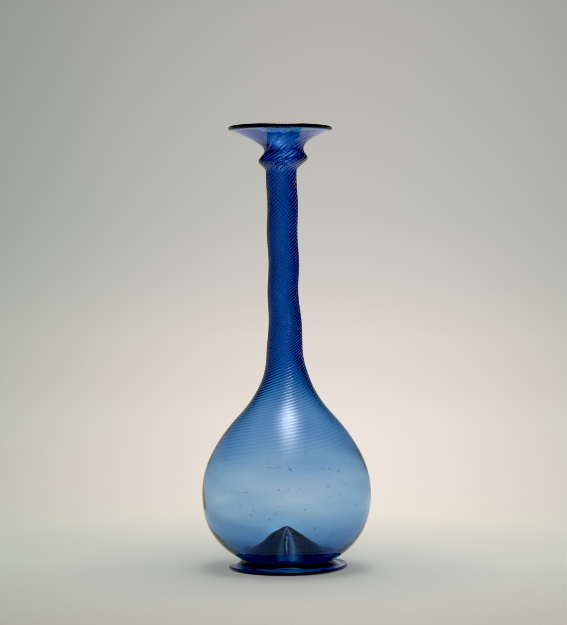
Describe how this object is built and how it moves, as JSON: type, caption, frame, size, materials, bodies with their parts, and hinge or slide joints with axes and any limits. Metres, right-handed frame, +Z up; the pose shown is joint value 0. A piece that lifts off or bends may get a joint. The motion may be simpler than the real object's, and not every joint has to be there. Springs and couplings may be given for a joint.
{
  "type": "long-necked glass bottle",
  "caption": "Blown blue glass bottle with a round thin-walled body, long spirally ribbed neck, collar, wide flaring mouth, pushed-in base and applied foot.",
  "frame": {"origin": "middle of the body, in the plane that the foot stands on", "axes": "+Z up along the body's axis; -Y is the side that faces the viewer; the neck leans a little towards -X"},
  "size_m": [0.1154, 0.1154, 0.3027],
  "materials": {
    "cobalt_glass": "clear fire-polished blown glass, deep blue where it is thick"
  },
  "bodies": {
    "root": {"bottle": "cobalt_glass"}
  },
  "joints": []
}
